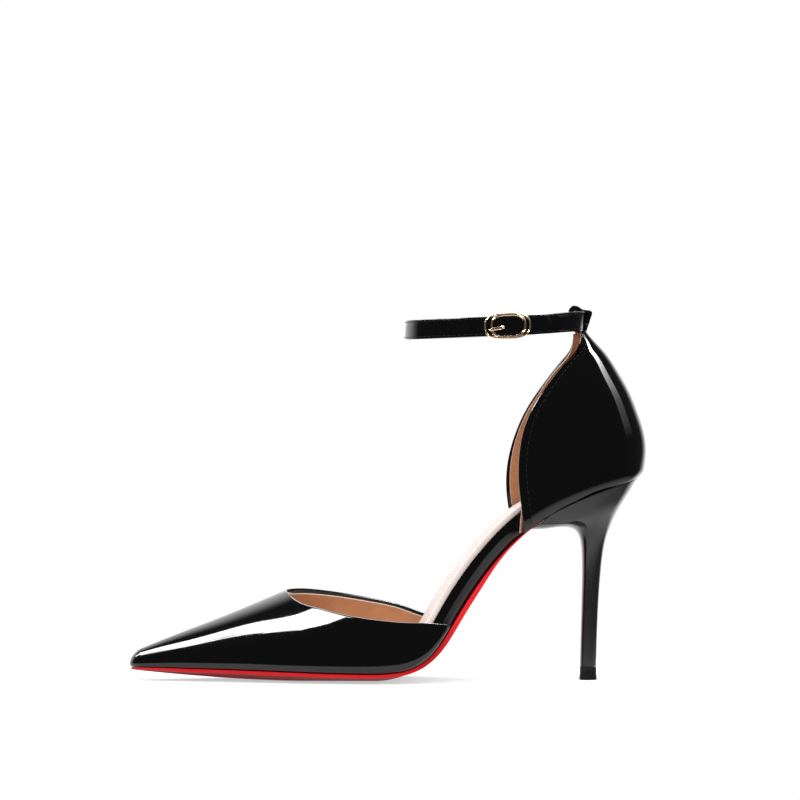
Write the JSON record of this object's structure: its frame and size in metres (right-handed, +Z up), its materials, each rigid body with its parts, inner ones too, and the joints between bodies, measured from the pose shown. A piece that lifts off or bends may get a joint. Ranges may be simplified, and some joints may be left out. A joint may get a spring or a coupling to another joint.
{
  "type": "high heel shoe",
  "caption": "Two-piece pointed pump for a left foot: low hollow vamp, open waist, counter swept up to an ankle strap with a buckle, thin sole and slim high heel.",
  "frame": {"origin": "on the floor under the middle of the shoe's bounding box", "axes": "-X to the toe, +X to the heel, +Y to the inner side of the foot, +Z up from the floor"},
  "size_m": [0.2318, 0.0738, 0.1677],
  "materials": {
    "black_patent": "black patent leather, mirror gloss",
    "red_sole": "red lacquered sole leather, satin",
    "nude_leather": "pale nude insole leather, matt",
    "black_lacquer": "black covered heel, satin gloss",
    "black_rubber": "black top piece, matt",
    "pale_gold": "polished pale gold plating"
  },
  "bodies": {
    "root": {"outsole": "red_sole", "insole_board": "black_patent", "sock_lining": "nude_leather", "vamp": "black_patent", "counter": "black_patent", "strap_loop": "black_patent", "heel": "black_lacquer", "heel_tip": "black_rubber", "ankle_strap": "black_patent", "buckle_frame": "pale_gold", "buckle_prong": "pale_gold"}
  },
  "joints": []
}
